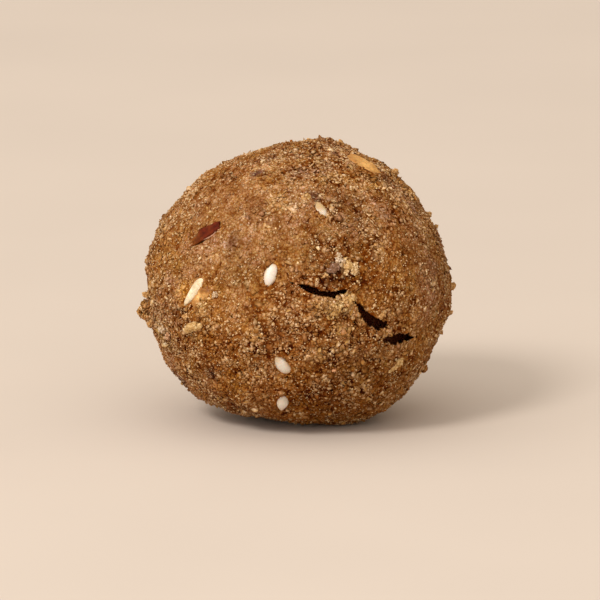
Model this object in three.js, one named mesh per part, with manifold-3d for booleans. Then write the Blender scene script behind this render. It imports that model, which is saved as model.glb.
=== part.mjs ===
// An ajwain ladoo: a pressed ball of roasted flour, jaggery and ghee. Sesame seeds, pieces of nut, slivers of
// almond skin and crumbs are pressed into it, and a dry crack in three stretches runs across its front.
// Millimetres, +Z up. The ball rests on a small flat spot, and the origin is on it, below the ball's middle.
// It is looked at from -Y and a little above, and what lies on it is placed as it is seen from there.
import * as THREE from "three";
import { mergeVertices } from "three/addons/utils/BufferGeometryUtils.js";
import Module from "manifold-3d";

const wasm = await Module();
wasm.setup();

// The ball's size
const WIDTH = 40;
const DEPTH = 38.8;
const HEIGHT = 37.6;
const REST_SHAVE = 0.65; // how much of the foot is cut off flat
const VIEW_RISE = THREE.MathUtils.degToRad(12); // how far above the horizon the ball is looked at from
const BALL_DETAIL = 14; // splits of each edge of the icosahedron that the ball starts from
const FINEST = 0.01; // no edge of the finished solid is shorter than about this

// Where the ball is pressed in (-) or squeezed out (+): the angle round its outline as seen from the front,
// counter-clockwise from the right, the height in millimetres and the reach in degrees.
const PRESSES = [
  { around: 30, height: -0.3, reach: 32 },
  { around: 108, height: -0.75, reach: 34 },
  { around: 142, height: -0.55, reach: 34 },
  { around: 226, height: 0.45, reach: 30 },
  { around: 263, height: -0.6, reach: 26 },
  { around: 306, height: 1.15, reach: 36 },
];

// The unevenness of a rolled ball: sets of waves in spread directions
const LUMPS = [
  { waves: 5, length: 15, height: 0.06 },
  { waves: 6, length: 8, height: 0.05 },
  { waves: 7, length: 4.6, height: 0.04 },
];

// The cracks, as stations along each: millimetres right of and above the ball's middle, and half the width.
const CRACK_DEPTH = 4.5;
const CRACK_STEEPNESS = 6; // the depth of a narrow stretch, in half widths
const CRACK_FLOOR = 0.45; // the width at the bottom, as a share of the width at the mouth
const CRACK_LIFT = 1.2; // how far the cutter stands out of the ball
const CRACKS = [
  {
    side: "front",
    stations: [
      [-1.2, 0.15, 0.14], [0.7, -0.5, 0.22], [2.6, -1.25, 0.38], [3.9, -1.5, 0.5],
      [4.7, -1.5, 0.46], [5.5, -1.15, 0.25], [7, -0.95, 0.14],
    ],
  },
  {
    side: "front",
    stations: [
      [7.2, -2.3, 0.14], [8, -3.3, 0.36], [9.1, -4.6, 0.56],
      [10.2, -5.4, 0.72], [10.9, -5.4, 0.45], [11.5, -5.3, 0.14],
    ],
  },
  {
    side: "front",
    stations: [
      [11.1, -7.25, 0.2], [12.1, -7.3, 0.55], [13.4, -7.1, 0.66], [14.6, -7, 0.27], [16.2, -6.7, 0.14],
    ],
  },
  {
    side: "back",
    stations: [[-7, 3.6, 0.14], [-4.6, 2.9, 0.3], [-2.4, 3.3, 0.46], [-0.6, 2.4, 0.3], [1.4, 1.9, 0.14]],
  },
];

// What is pressed into the ball: millimetres right of and above its middle, as seen from its side, and the
// angle of the long axis there, counter-clockwise from the right.
const SESAME = { length: 3.2, width: 1.8, thickness: 1.1, taper: 0.42, sink: 0.15 };
const SESAME_SEEDS = [
  { side: "front", right: -3.4, up: 0.95, turn: 252 },
  { side: "front", right: -1.95, up: -10.6, turn: 129 },
  { side: "front", right: -1.85, up: -15.6, turn: 78 },
  { side: "front", right: 3.1, up: 9.5, turn: 126 },
  { side: "back", right: 4.2, up: 6.4, turn: 25 },
  { side: "back", right: -9.6, up: 8.2, turn: 110 },
  { side: "back", right: 9.4, up: -2.6, turn: 150 },
  { side: "back", right: -2.1, up: -5.7, turn: 60 },
  { side: "back", right: -12.8, up: -4.4, turn: 20 },
  { side: "back", right: 5.2, up: -12.2, turn: 95 },
  { side: "back", right: 2.4, up: 14.6, turn: 170 },
];
const NUT_SINK = 0.3; // the share of a nut's thickness by which its middle lies under the surface
const NUTS = [
  { side: "front", right: 9, up: 15.6, turn: -32, length: 4.6, width: 3.4, thickness: 1.8 },
  { side: "front", right: -13.5, up: -1.3, turn: 53, length: 4.4, width: 1.6, thickness: 1.8 },
  { side: "front", right: -12.4, up: -2.9, turn: 53, length: 3.4, width: 2.6, thickness: 1.9 },
  { side: "front", right: -13.4, up: -5.6, turn: 24, length: 2.4, width: 1.5, thickness: 1.5 },
  { side: "front", right: 6.6, up: 1.8, turn: -10, length: 2.3, width: 1.9, thickness: 1.4 },
  { side: "back", right: 10.6, up: 9.6, turn: 140, length: 4.2, width: 2.8, thickness: 1.8 },
  { side: "back", right: -6.2, up: -12.4, turn: 35, length: 3.8, width: 2.2, thickness: 1.6 },
  { side: "back", right: -15.4, up: 3.4, turn: 80, length: 3, width: 2.2, thickness: 1.5 },
];
const SKIN = { length: 5, width: 1.5, thickness: 0.9, taper: 0.9, sink: 0.1 };
const SKIN_SLIVERS = [
  { side: "front", right: -11.8, up: 6.1, turn: 37 },
  { side: "back", right: 2.6, up: -1.4, turn: 160 },
];

// Crumbs: clusters where the ball crumbles, and single ones spread over it
const CRUMB_SIZE = { least: 0.6, most: 1.15 };
const CRUMB_ROUGHNESS = 0.3; // how far a crumb's corners stray, as a share of its radius
const CRUMB_CLUSTERS = [
  { side: "front", right: -19.25, up: -3.6, spread: 1.1, count: 7 },
  { side: "front", right: -12, up: -6.2, spread: 1.5, count: 5 },
  { side: "front", right: 4.2, up: -3.1, spread: 1.3, count: 7 },
  { side: "front", right: 12, up: -6.1, spread: 0.8, count: 3 },
  { side: "back", right: -2.2, up: 1.4, spread: 1.5, count: 6 },
];
const SINGLE_CRUMBS = 72;
const CLEAR_OF_CRACKS = 1.9; // single crumbs stay this far from a crack's stations
const CLEAR_OF_FLOOR = 2.6; // and this far above the floor
const GOLDEN_ANGLE = Math.PI * (3 - Math.sqrt(5));

// A repeatable draw from 0 to 1 for each whole number.
function draw(number) {
  const spread = Math.sin(number * 12.9898) * 43758.5453;
  return spread - Math.floor(spread);
}

// One of many directions that are spread evenly over a sphere.
function spiralDirection(index, count, turned) {
  const z = 1 - (2 * index + 1) / count;
  const across = Math.sqrt(1 - z * z);
  const angle = index * GOLDEN_ANGLE + turned;
  return new THREE.Vector3(across * Math.cos(angle), across * Math.sin(angle), z);
}

// The directions right, up and towards the eye for a look at the front (1) or the back (-1).
function lookAt(sign) {
  const toward = new THREE.Vector3(0, -sign * Math.cos(VIEW_RISE), Math.sin(VIEW_RISE));
  const right = new THREE.Vector3(sign, 0, 0);
  return { toward, right, up: toward.clone().cross(right) };
}
const SIDES = { front: lookAt(1), back: lookAt(-1) };

const pressAxes = PRESSES.map(({ around, height, reach }) => {
  const angle = THREE.MathUtils.degToRad(around);
  const axis = SIDES.front.right.clone().multiplyScalar(Math.cos(angle));
  axis.addScaledVector(SIDES.front.up, Math.sin(angle));
  return { axis, height, reach: THREE.MathUtils.degToRad(reach) };
});

const lumpWaves = LUMPS.flatMap(({ waves, length, height }, set) =>
  Array.from({ length: waves }, (_, wave) => ({
    axis: spiralDirection(wave, waves, set + 1),
    beat: (2 * Math.PI) / length,
    phase: 2 * Math.PI * draw(100 * set + wave),
    height,
  })),
);

// The ball's radius in a direction, before its foot is cut flat.
function ballRadius(direction) {
  const { x, y, z } = direction;
  let radius = 1 / Math.hypot(x / (WIDTH / 2), y / (DEPTH / 2), z / (HEIGHT / 2));
  for (const { axis, height, reach } of pressAxes) {
    const share = direction.angleTo(axis) / reach;
    if (share < 1) radius += height * Math.cos((share * Math.PI) / 2) ** 2;
  }
  for (const { axis, beat, phase, height } of lumpWaves) {
    radius += height * Math.sin((direction.dot(axis) * WIDTH * beat) / 2 + phase);
  }
  return radius;
}

const foot = new THREE.Vector3(0, 0, -1);
const middle = new THREE.Vector3(0, 0, ballRadius(foot) - REST_SHAVE); // the ball's middle, above the origin

// A point of the ball's surface, or one that far off it.
function surfacePoint(direction, lift = 0) {
  return direction.clone().multiplyScalar(ballRadius(direction) + lift).add(middle);
}

// The direction from the ball's middle to the spot seen that far right of it and above it.
function seenDirection(side, right, up) {
  const look = SIDES[side];
  const direction = new THREE.Vector3();
  let reach = WIDTH / 2;
  for (let pass = 0; pass < 4; pass++) {
    const depth = Math.sqrt(Math.max(0, reach ** 2 - right ** 2 - up ** 2));
    direction.copy(look.toward).multiplyScalar(depth);
    direction.addScaledVector(look.right, right).addScaledVector(look.up, up).normalize();
    reach = ballRadius(direction);
  }
  return direction;
}

// The ball's outward normal, from two short steps along its surface.
function surfaceNormal(direction) {
  const step = 0.02;
  const here = surfacePoint(direction);
  const first = new THREE.Vector3(direction.z, direction.x, direction.y).cross(direction).normalize();
  const second = direction.clone().cross(first);
  const [ahead, aside] = [first, second].map((tangent) =>
    surfacePoint(direction.clone().addScaledVector(tangent, step).normalize()).sub(here),
  );
  return ahead.cross(aside).normalize();
}

// A place on the ball: X along the turn as seen from its side, and Z out of the surface.
function seat({ side, right, up, turn }, lift) {
  const look = SIDES[side];
  const direction = seenDirection(side, right, up);
  const normal = surfaceNormal(direction);
  const angle = THREE.MathUtils.degToRad(turn);
  const along = look.right.clone().multiplyScalar(Math.cos(angle)).addScaledVector(look.up, Math.sin(angle));
  along.addScaledVector(look.toward, -along.dot(normal) / look.toward.dot(normal)).normalize();
  const place = new THREE.Matrix4().makeBasis(along, normal.clone().cross(along), normal);
  return place.setPosition(surfacePoint(direction).addScaledVector(normal, lift));
}

// A closed geometry as a solid that can be joined and cut.
function toSolid(geometry) {
  geometry.deleteAttribute("normal");
  geometry.deleteAttribute("uv");
  const merged = mergeVertices(geometry, 1e-4);
  const vertProperties = new Float32Array(merged.getAttribute("position").array);
  const triVerts = new Uint32Array(merged.index.array);
  return new wasm.Manifold(new wasm.Mesh({ numProp: 3, vertProperties, triVerts }));
}

// The same solid as a geometry.
function toGeometry(solid) {
  const { vertProperties, triVerts } = solid.getMesh();
  const geometry = new THREE.BufferGeometry();
  geometry.setAttribute("position", new THREE.BufferAttribute(vertProperties, 3));
  geometry.setIndex(new THREE.BufferAttribute(triVerts, 1));
  geometry.computeVertexNormals();
  return geometry;
}

// Moves each vertex of a geometry by a function of its own place.
function reshape(geometry, move) {
  const position = geometry.getAttribute("position");
  const point = new THREE.Vector3();
  for (let i = 0; i < position.count; i++) {
    move(point.fromBufferAttribute(position, i));
    position.setXYZ(i, point.x, point.y, point.z);
  }
  return geometry;
}

// The bare ball, down to the flat spot on the floor.
function makeBall() {
  const round = reshape(new THREE.IcosahedronGeometry(1, BALL_DETAIL), (point) => {
    point.copy(surfacePoint(point.normalize()));
  });
  const floor = new THREE.BoxGeometry(WIDTH, DEPTH, HEIGHT).translate(0, 0, -HEIGHT / 2);
  return toSolid(round).subtract(toSolid(floor));
}

// A cutter that follows a crack and goes straight in, wide at the mouth and narrow at its floor.
function makeCrack({ side, stations }) {
  const corners = [];
  stations.forEach(([right, up, half], i) => {
    const before = stations[Math.max(0, i - 1)];
    const after = stations[Math.min(stations.length - 1, i + 1)];
    const run = new THREE.Vector2(after[0] - before[0], after[1] - before[1]).normalize();
    const depth = Math.min(CRACK_DEPTH, CRACK_STEEPNESS * half);
    const section = [
      [half, CRACK_LIFT],
      [-half, CRACK_LIFT],
      [-half * CRACK_FLOOR, -depth],
      [half * CRACK_FLOOR, -depth],
    ];
    for (const [across, lift] of section) {
      const mouth = surfacePoint(seenDirection(side, right - across * run.y, up + across * run.x));
      corners.push(mouth.addScaledVector(SIDES[side].toward, lift));
    }
  });
  const faces = [0, 2, 1, 0, 3, 2];
  for (let i = 0; i < stations.length - 1; i++) {
    for (let corner = 0; corner < 4; corner++) {
      const a = 4 * i + corner;
      const b = 4 * i + ((corner + 1) % 4);
      faces.push(a, b, a + 4, b, b + 4, a + 4);
    }
  }
  const end = corners.length - 4;
  faces.push(end, end + 1, end + 2, end, end + 2, end + 3);
  return toSolid(new THREE.BufferGeometry().setFromPoints(corners).setIndex(faces));
}

// An oval that narrows towards the end its turn points to, or towards both ends.
function makeOval(place, { length, width, thickness, taper, sink }, bothEnds) {
  const oval = reshape(new THREE.SphereGeometry(1, 10, 6).rotateZ(Math.PI / 2), (point) => {
    const along = bothEnds ? point.x : Math.max(0, point.x);
    const narrow = 1 - taper * along ** 2;
    point.set((point.x * length) / 2, (point.y * narrow * width) / 2, (point.z * narrow * thickness) / 2);
  });
  return toSolid(oval.applyMatrix4(seat(place, -sink)));
}

const makeSesameSeed = (place) => makeOval(place, SESAME, false);
const makeSkinSliver = (place) => makeOval(place, SKIN, true);

// A piece of nut: a chunk with uneven corners, mostly sunk in the ball.
function makeNut(place, index) {
  const { length, width, thickness } = place;
  const halves = new THREE.Vector3(length, width, thickness).multiplyScalar(0.5);
  const nut = reshape(new THREE.IcosahedronGeometry(1, 1), (point) => {
    const uneven = 1 + 0.16 * Math.sin(4 * point.x + 3 * point.y + 5 * point.z + index);
    point.multiplyScalar(uneven).multiply(halves);
  });
  return toSolid(nut.applyMatrix4(seat(place, -NUT_SINK * thickness)));
}

// A crumb: a small uneven lump, half sunk in the ball.
function makeCrumb(direction, seed) {
  const size = THREE.MathUtils.lerp(CRUMB_SIZE.least, CRUMB_SIZE.most, draw(seed) ** 2);
  const crumb = reshape(new THREE.IcosahedronGeometry(size / 2, 0), (point) => {
    const corner = Math.round((14 * point.x + 22 * point.y + 26 * point.z) / size);
    point.multiplyScalar(1 + CRUMB_ROUGHNESS * (2 * draw(seed + corner) - 1));
  });
  const centre = surfacePoint(direction, size * 0.15);
  return toSolid(crumb.translate(centre.x, centre.y, centre.z));
}

// Where the crumbs of the clusters lie.
function clusteredDirections() {
  return CRUMB_CLUSTERS.flatMap(({ side, right, up, spread, count }) =>
    Array.from({ length: count }, (_, i) => {
      const out = spread * Math.sqrt((i + 0.5) / count);
      const angle = i * GOLDEN_ANGLE;
      return seenDirection(side, right + out * Math.cos(angle), up + out * Math.sin(angle));
    }),
  );
}

// Where the single crumbs lie: spread evenly, clear of the cracks and the floor.
function singleDirections() {
  const cracked = CRACKS.flatMap(({ side, stations }) =>
    stations.map(([right, up]) => surfacePoint(seenDirection(side, right, up))),
  );
  const spread = Array.from({ length: SINGLE_CRUMBS }, (_, i) => spiralDirection(i, SINGLE_CRUMBS, 2));
  return spread.filter((direction) => {
    const point = surfacePoint(direction);
    return point.z > CLEAR_OF_FLOOR && cracked.every((spot) => spot.distanceTo(point) > CLEAR_OF_CRACKS);
  });
}

// The ball with its cracks cut and everything pressed into it, as one body.
function makeLadoo() {
  const cracked = CRACKS.reduce((ball, crack) => ball.subtract(makeCrack(crack)), makeBall());
  const crumbs = [...clusteredDirections(), ...singleDirections()];
  const pressedIn = [
    ...SESAME_SEEDS.map(makeSesameSeed),
    ...SKIN_SLIVERS.map(makeSkinSliver),
    ...NUTS.map(makeNut),
    ...crumbs.map((direction, i) => makeCrumb(direction, 1000 + 50 * i)),
  ];
  const fused = pressedIn.reduce((ball, piece) => ball.add(piece), cracked).simplify(FINEST);
  const whole = fused.decompose().reduce((most, body) => (body.volume() > most.volume() ? body : most));
  const dough = new THREE.MeshStandardMaterial({ color: 0x8f5f33, roughness: 0.85, metalness: 0 });
  const ladoo = new THREE.Mesh(toGeometry(whole), dough);
  ladoo.name = "ladoo";
  return ladoo;
}

const part = new THREE.Group();
part.add(makeLadoo());

export default part;
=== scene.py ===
"""An ajwain ladoo: a rolled ball of roasted flour, jaggery and ghee on a plain pale floor.

The dough is a fine mesh with its crumb and its cracks as relief. Loose grains and crumbs, sesame seeds,
pieces of nut and slivers of almond skin lie on it as separate pieces. Sizes are in millimetres until a mesh
is made. Places are given as seen from the front or the back: how far right of the ball's middle and above it.
"""

import itertools
import math
from typing import NamedTuple

import bmesh
import bpy
import numpy as np
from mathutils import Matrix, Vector


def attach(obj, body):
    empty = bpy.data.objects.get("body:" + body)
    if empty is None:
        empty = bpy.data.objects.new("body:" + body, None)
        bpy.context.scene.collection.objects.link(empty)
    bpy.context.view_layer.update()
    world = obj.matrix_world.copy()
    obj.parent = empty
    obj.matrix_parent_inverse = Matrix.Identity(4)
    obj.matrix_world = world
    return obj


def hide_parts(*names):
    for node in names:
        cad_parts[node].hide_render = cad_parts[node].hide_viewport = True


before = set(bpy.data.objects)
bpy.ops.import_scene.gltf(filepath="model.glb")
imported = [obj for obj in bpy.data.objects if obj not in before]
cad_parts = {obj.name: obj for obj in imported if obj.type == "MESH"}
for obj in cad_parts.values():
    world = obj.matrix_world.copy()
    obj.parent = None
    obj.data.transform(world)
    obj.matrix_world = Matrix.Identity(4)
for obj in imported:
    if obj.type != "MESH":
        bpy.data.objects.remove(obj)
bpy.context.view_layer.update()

MM = 0.001

# The ball's form, with the same sizes as the solid
WIDTH, DEPTH, HEIGHT = 40.0, 38.8, 37.6
REST_SHAVE = 0.65  # how much of its foot is cut off flat
GRAIN_ROOM = 0.2  # how far below the solid's surface the bare dough lies, for the loose grains on it
VIEW_RISE = math.radians(12)  # how far above the horizon it is seen from
PRESSES = (  # its dents and bulges: angle round the outline, height, reach in degrees
    (30, -0.3, 32), (108, -0.75, 34), (142, -0.55, 34), (226, 0.45, 30), (263, -0.6, 26), (306, 1.15, 36),
)
LUMPS = ((5, 15, 0.06), (6, 8, 0.05), (7, 4.6, 0.04))  # its soft lumps: waves, their length, their height
GOLDEN_ANGLE = math.pi * (3 - math.sqrt(5))
SETTLING_ROUNDS = 4  # how often a spot on the uneven ball is worked out anew

# The cracks: the side that each is on, and stations along it with half its width there
CRACKS = (
    ("front", (
        (-1.2, 0.17, 0.1), (0, -0.33, 0.2), (0.78, -0.52, 0.3), (1.7, -0.85, 0.37), (2.88, -1.37, 0.36),
        (3.84, -1.46, 0.5), (4.61, -1.54, 0.47), (5.23, -1.23, 0.3), (6.14, -1.1, 0.2), (6.93, -0.94, 0.05),
    )),
    ("front", (
        (7.24, -2.35, 0.08), (7.84, -2.94, 0.34), (8.24, -3.4, 0.5), (8.65, -4.14, 0.6), (9.23, -4.64, 0.68),
        (9.93, -5.23, 0.78), (10.39, -5.36, 0.8), (10.93, -5.27, 0.5), (11.5, -5.36, 0.08),
    )),
    ("front", (
        (11.2, -7.27, 0.25), (11.5, -7.28, 0.46), (12.07, -7.32, 0.62), (12.77, -7.2, 0.72),
        (13.46, -7.08, 0.7), (14.04, -6.98, 0.54), (14.61, -7.02, 0.22), (15.32, -6.98, 0.04),
    )),
    ("back", (
        (-7, 3.6, 0.04), (-5.6, 3.2, 0.2), (-4.6, 2.9, 0.32), (-3.4, 3.15, 0.4), (-2.4, 3.3, 0.46),
        (-1.5, 2.8, 0.4), (-0.6, 2.4, 0.28), (0.4, 2.1, 0.16), (1.4, 1.9, 0.04),
    )),
)
CRACK_DEPTH = 4.5
CRACK_WALL, WALL_CURVE = 0.2, 0.7  # how far inside its edge a crack is at full depth, and the wall's power
CRACK_JAGS = ((1.1, 0.15), (0.55, 0.17), (0.26, 0.1))  # the length and height of the unevenness of its edge
JAG_RANGE = (-1.5, -0.5)  # how far outside the edge this begins, and where it is at its full height
CRACK_SHADE_INSETS = (-0.075, 0.175)  # between which insets the dough's colour turns into the painted shade of the walls
GRAIN_CLEAR, CRUMB_CLEAR = 0.02, 0.2  # how far from the edge grains and crumbs stay
LIP_HEIGHT, LIP_REACH = 0.16, 0.8  # the dough's raised lip along it

# The dough's mesh and relief
BALL_SPLITS = 88
FINE_REACH, FINEST_REACH = 1.3, 0.6  # how far from a crack the mesh is split once and twice
SWELLS = ((4.2, 0.2), (2.0, 0.13))  # the length and height of its soft unevenness
CRUMBLE_LENGTH, CRUMBLE_MEAN, CRUMBLE_SWING = 9.0, 0.75, 0.5  # how wide its rough patches are, and how rough
CRUMBLE_LIMITS = (0.1, 1.8)  # the least and the most that it crumbles
SMOOTH_RELIEF = 0.3  # how much of its relief is left where it doesn't crumble
FLAKES = ((1.3, 0.15), (0.75, 0.11), (0.45, 0.06))  # the size and height of its flakes
FLAKE_SIDE = (0.1, 0.45)  # how near its middle a flake's side starts and ends
FLAKE_MEAN, FLAKE_SPREAD = 0.8, 0.8  # their middle height, and how much flakes differ
WARP_LENGTH, WARP = 0.9, 0.4  # how the flakes' edges wander
PIT_SPACING, PIT_SHARE, PIT_DEPTH, PIT_SIDE = 1.6, 0.25, 0.5, (0.72, 0.92)
PIT_SHADE = 2  # how much darker a pit is
RIM_PLACE, RIM_HEIGHT, RIM_REACH = 1.05, 0.26, 0.25  # its rim round what is pressed in: 1 is the edge
RIM_WARP = 0.5  # how much of the flakes' wandering the rim has
HOLLOW, HOLLOW_SIDE = 0.3, (1.05, 0.75)  # the hollow below what is pressed in, and where its side is
PRESS_REACH = 3.0  # how far above and below itself a pressed piece shapes the dough
HEAP_LUMP, HEAP_BASE, HEAP_LUMPS = 0.45, 0.4, 1.2  # the size of a heap's lumps, the heights below and in them
LUMP_START, LUMP_LEAST = 0.25, 0.4  # where these lumps begin, and the least height of one

# The dough's colour, from its deepest gaps to its palest flakes; where it follows the relief, it is partly
# painted shade and light
PALETTE = (
    (-2.6, (66, 22, 1)), (-1.5, (110, 56, 10)), (-0.5, (138, 92, 46)), (0.5, (153, 106, 62)),
    (1.4, (171, 126, 84)), (2.4, (199, 158, 115)),
)
SMOOTH_TONE = 0.4  # how much of its contrast is left where it doesn't crumble
ROUGH_SHADE = 0.95  # how many steps darker it is between the grains where it crumbles
ROUGH_GAP_SHADE = np.array([0.0, 0.02, 0.06])  # painted shade between the grains where it crumbles: how much less red, green and blue is left there
GRAIN_TONE = 0.52  # how many steps paler than the middle its grains are
PALER = np.array([1.0, 1.45, 2.2])  # the power of a change of tone in each channel: paler is less red
SPECKLES, SPECKLE_SHARE = (1.2, 0.6, 0.32, 0.26), 1.2  # the lengths at which its tone changes, and how much
SWELL_TONES = ((4.8, 0.7), (2.2, 0.65))  # longer ones, with the grains on it, and by how many steps
GRAIN_LIT_TOP, GRAIN_SHADED_EDGE = (1.29, 1.48, 1.9), (0.8, 0.66, 0.4)  # painted light and shade: grains are paler on top, deeper and warmer round the edge
HEAP_SHARE, HEAP_RANGE = 0.6, (4 / 3, 1 / 2)  # how strong a heap's colour is, and where it fades
HEAP_CONTRAST, HEAP_LEVELS = 0.25, (-2, 2)  # how it changes with the level, and which levels
WANDER_LENGTH, WANDER = 1.3, 0.7  # how the edges of patches wander
# Of these tints, deep and shade are painted shade and the warm tint is painted warm light; the others are the
# dough's own colours
TINTS = dict(
    caramel=(1.03, 0.97, 0.74), grey=(0.93, 1.0, 1.25), purple=(0.3, 0.22, 0.4), pale=(1.2, 1.3, 1.5),
    gold=(1.35, 1.3, 0.8), pink=(1.0, 0.93, 1.12), deep=(0.8, 0.7, 0.42), shade=(0.75, 0.73, 0.71),
    warm=(1.0, 0.88, 0.6), honey=(1.04, 1.07, 0.72), mauve=(0.82, 0.76, 0.9),
)
TINT_PATCHES = (  # colour, length, finer length, how far it spreads
    ("caramel", 6.5, 2.4, 0.2), ("grey", 8.5, 2.8, 0.0), ("pink", 5.0, 2.0, -0.1),
    ("honey", 2.6, 1.2, -0.2), ("mauve", 3.6, 1.5, -0.25),
)
TINT_SWING, TINT_FINER, TINT_STRENGTH = 0.9, 0.35, 0.8  # how much each length counts, and the whole
HUE_SWINGS = ((4.5, 0.2), (2.2, 0.2), (1.1, 0.12))  # length, and how far it swings there from honey to mauve
TO_HONEY, TO_MAUVE = np.array([0.0, 0.1, 1.0]), np.array([-0.6, -0.8, -0.45])  # what a swing of one step does

# The finest detail of the dough, which is in its material
MOTTLE_LENGTH, MOTTLE_RANGE = 1.1, (0.34, 0.66)
MOTTLE_DETAIL, MOTTLE_ROUGHNESS = 3.0, 0.9  # how many finer layers its noise has, and how strong they are
MOTTLE_DEEP, MOTTLE_PALE = (0.68, 0.52, 0.3), (1.3, 1.45, 1.7)
FINEST_LENGTH, FINEST_DOME = 0.32, (0.15, 0.8)  # the size of the finest grains, and where they are round
FINEST_GAP_TONE_AND_SHADE, FINEST_TOP_TONE_AND_LIGHT = (0.72, 0.55, 0.3), (1.44, 1.72, 2.3)  # how they are tinted between them and on them: partly their own tone, partly painted shade in the gaps and painted light on the tops
FINEST_HONEY, FINEST_MAUVE = (1.01, 1.02, 0.87), (0.99, 0.98, 1.06)  # how one differs from the next
FINEST_SHINY, FINEST_ROUGHNESS = (0.75, 0.9), (0.65, 0.25)  # which of them shine, and the roughness of both
CREVICE_SPACING, CREVICE_LINE = 2.4, (0.02, 0.06)  # painted shade in the thin breaks between its flakes, and how wide they are
CREVICE_PATCH, CREVICE_RANGE = 1.3, (0.58, 0.64)  # where they are
CREVICE_WARP_LENGTH, CREVICE_WARP = 0.7, 0.5
# the colour of the painted shade in the breaks
CREVICE_SHADE = (0.35, 0.2, 0.08)
DOUGH_SPECULAR, DOUGH_BUMP, DOUGH_BUMP_HEIGHT = 0.02, 0.7, 0.1
DOUGH_GLOW, DOUGH_GLOW_REACH, DOUGH_GLOW_COLOUR = 0.25, 0.3, (1.0, 0.4, 0.15)  # how light goes into it

# Patches of the dough with a colour of their own, and patches of painted shade (deep, towards the bottom, and
# shade) and of painted warm light (warm, on the lower and right side): right, up, radius, strength
STAINS_AND_PAINTED_LIGHT = dict(
    front=dict(
        caramel=(
            (-3, 0.8, 3.5, 0.5), (1.5, 6, 3.5, 0.2), (-12.3, -2.6, 3.2, 0.9), (-0.6, -9, 2.4, 0.7),
            (9.4, -2.8, 2.2, 0.7), (-9.6, -13.2, 2.6, 0.7), (1, -9, 8, 0.6),
        ),
        grey=((-16.8, -3, 5, 1), (2, -6, 4, 0.4), (5.2, 7.5, 4, 0.5), (0, 15, 6, 0.3), (-13, 8, 6, 0.3)),
        purple=(
            (6.2, 10, 3.4, 0.18), (8.3, 5.7, 2.6, 0.2), (5, 1.5, 1.6, 0.5), (4, -0.1, 1, 0.5),
            (-5.1, 14.2, 1.1, 1), (2.2, 11.3, 0.9, 0.8), (-8.2, 5.2, 1.2, 0.6), (5.06, 16.9, 0.6, 0.9),
            (-15.2, -12.4, 1.8, 0.8), (11.3, 13.6, 1.6, 0.5), (-11, -11.8, 1.1, 0.9),
        ),
        # painted shade, mostly towards the bottom
        deep=((3, -18, 10, 0.85), (12, -12, 9, 0.6), (-10, -12, 7, 0.4), (4, -5, 5, 0.3)),
        # painted warm light on the lower and right side
        warm=((15, 0, 8, 0.3), (-9, -9, 8, 0.7), (3, -15, 8, 0.8), (4, -6, 6, 0.4), (1.5, -1.5, 3, 0.4)),
        # painted shade
        shade=(
            (0.8, 1.8, 3.5, 0.5), (4.5, -12.5, 5, 0.5), (6, -16, 5, 0.4), (-8.1, 1.8, 2.5, 0.5),
            (9.5, 9, 4, 0.4), (0.8, -16, 3, 0.5),
        ),
        pale=(
            (13.4, -4, 3, 0.35), (-3.7, -2.8, 2.5, 1.3), (0, 15, 6, 0.95), (5.2, 6.3, 2.5, 0.4),
            (14.1, 5, 4, 0.4), (14, -7, 3, 0.8),
        ),
        gold=((-2.5, 2.2, 0.9, 0.9), (3.3, 8.9, 1.5, 0.8), (-14.6, -1.2, 1.3, 0.8), (-12.4, -2.6, 1.7, 0.7)),
    ),
    back=dict(
        # the deep patch is painted shade at the bottom; the warm ones on the next line are painted warm light
        # low down and on the right
        caramel=((-12, 2, 7, 0.5),), grey=((8, 9, 6, 0.7),), deep=((0, -18, 10, 0.9),),
        warm=((0, -13, 12, 0.7), (13, 0, 8, 0.6)),
    ),
)
STAIN_RANGE = (1.4, 0.4)  # between which shares of its radius a stain fades in

# Where the dough is smoother or rougher than elsewhere: right, up, radius, how much it crumbles there
PATCHES = dict(
    front=(
        (-6, 1, 7, -0.6), (-6, 9, 6, -0.45), (1, 1.5, 4, 0.4), (1, -11, 7, 0.85), (10, -10, 6, 0.85),
        (14, -1, 5, -0.1), (-15, -6, 6, 0.5), (2, 15, 6, 0.15), (-14, 8, 5, -0.4), (11, 6, 5, -0.3),
    ),
    back=((4, 5, 7, -0.6), (-8, -8, 8, 0.6), (10, -4, 6, 0.5), (-4, 14, 6, 0.3)),
)
PATCH_RANGE = (1.5, 0.5)  # between which shares of its radius a patch fades in


class Kind(NamedTuple):
    """A kind of loose grain."""

    seed: int
    count: int
    sizes: tuple  # the least and the greatest
    power: float  # small ones are more common the higher it is
    smooth: float  # how readily they lie on smooth dough
    tilt: float  # how far they are tilted from lying flat
    unevenness: float
    lift: float = 0  # how far they stand off the dough, as a share of their size


FLAKE = Kind(11, 4600, (0.3, 1.2), power=4, smooth=0.3, tilt=0.2, unevenness=0.4)
GRAIN = Kind(14, 24500, (0.26, 0.66), power=2, smooth=0.3, tilt=0.3, unevenness=0.38)
SPECK = Kind(12, 4500, (0.18, 0.36), power=2, smooth=0.15, tilt=0.4, unevenness=0.38, lift=0.2)
CRUMB = Kind(13, 4800, (0.28, 0.85), power=3, smooth=0.1, tilt=0.6, unevenness=0.52)
FLAKE_FORM, CRUMB_FORM = dict(sides=9, thickness=0.22), dict(sides=7, thickness=0.45)
GRAIN_FLATNESS = 0.6
STRETCH = (0.7, 1.25)  # the least and the most that a grain is stretched
FLAKE_PALER, GRAIN_PALER, CRUMB_PALER = (0.06, 0.14), (0.02, 0.16), (0.26, 0.16)  # how much: mean and spread
GRAIN_PATCHES = 0.2  # how much more this is for grains where the crumbs lie in groups
SPECK_PALER = (0.1, 0.9)  # the least and the most: partly their own paleness, partly painted glints
HUES = np.array([0.02, 0.025, 0.1])  # how much one grain's red, green and blue differ from the next one's
SPECK_GROUPS = dict(length=2.6, mean=0.35, swing=1, least=0.06, seed=91)
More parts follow.
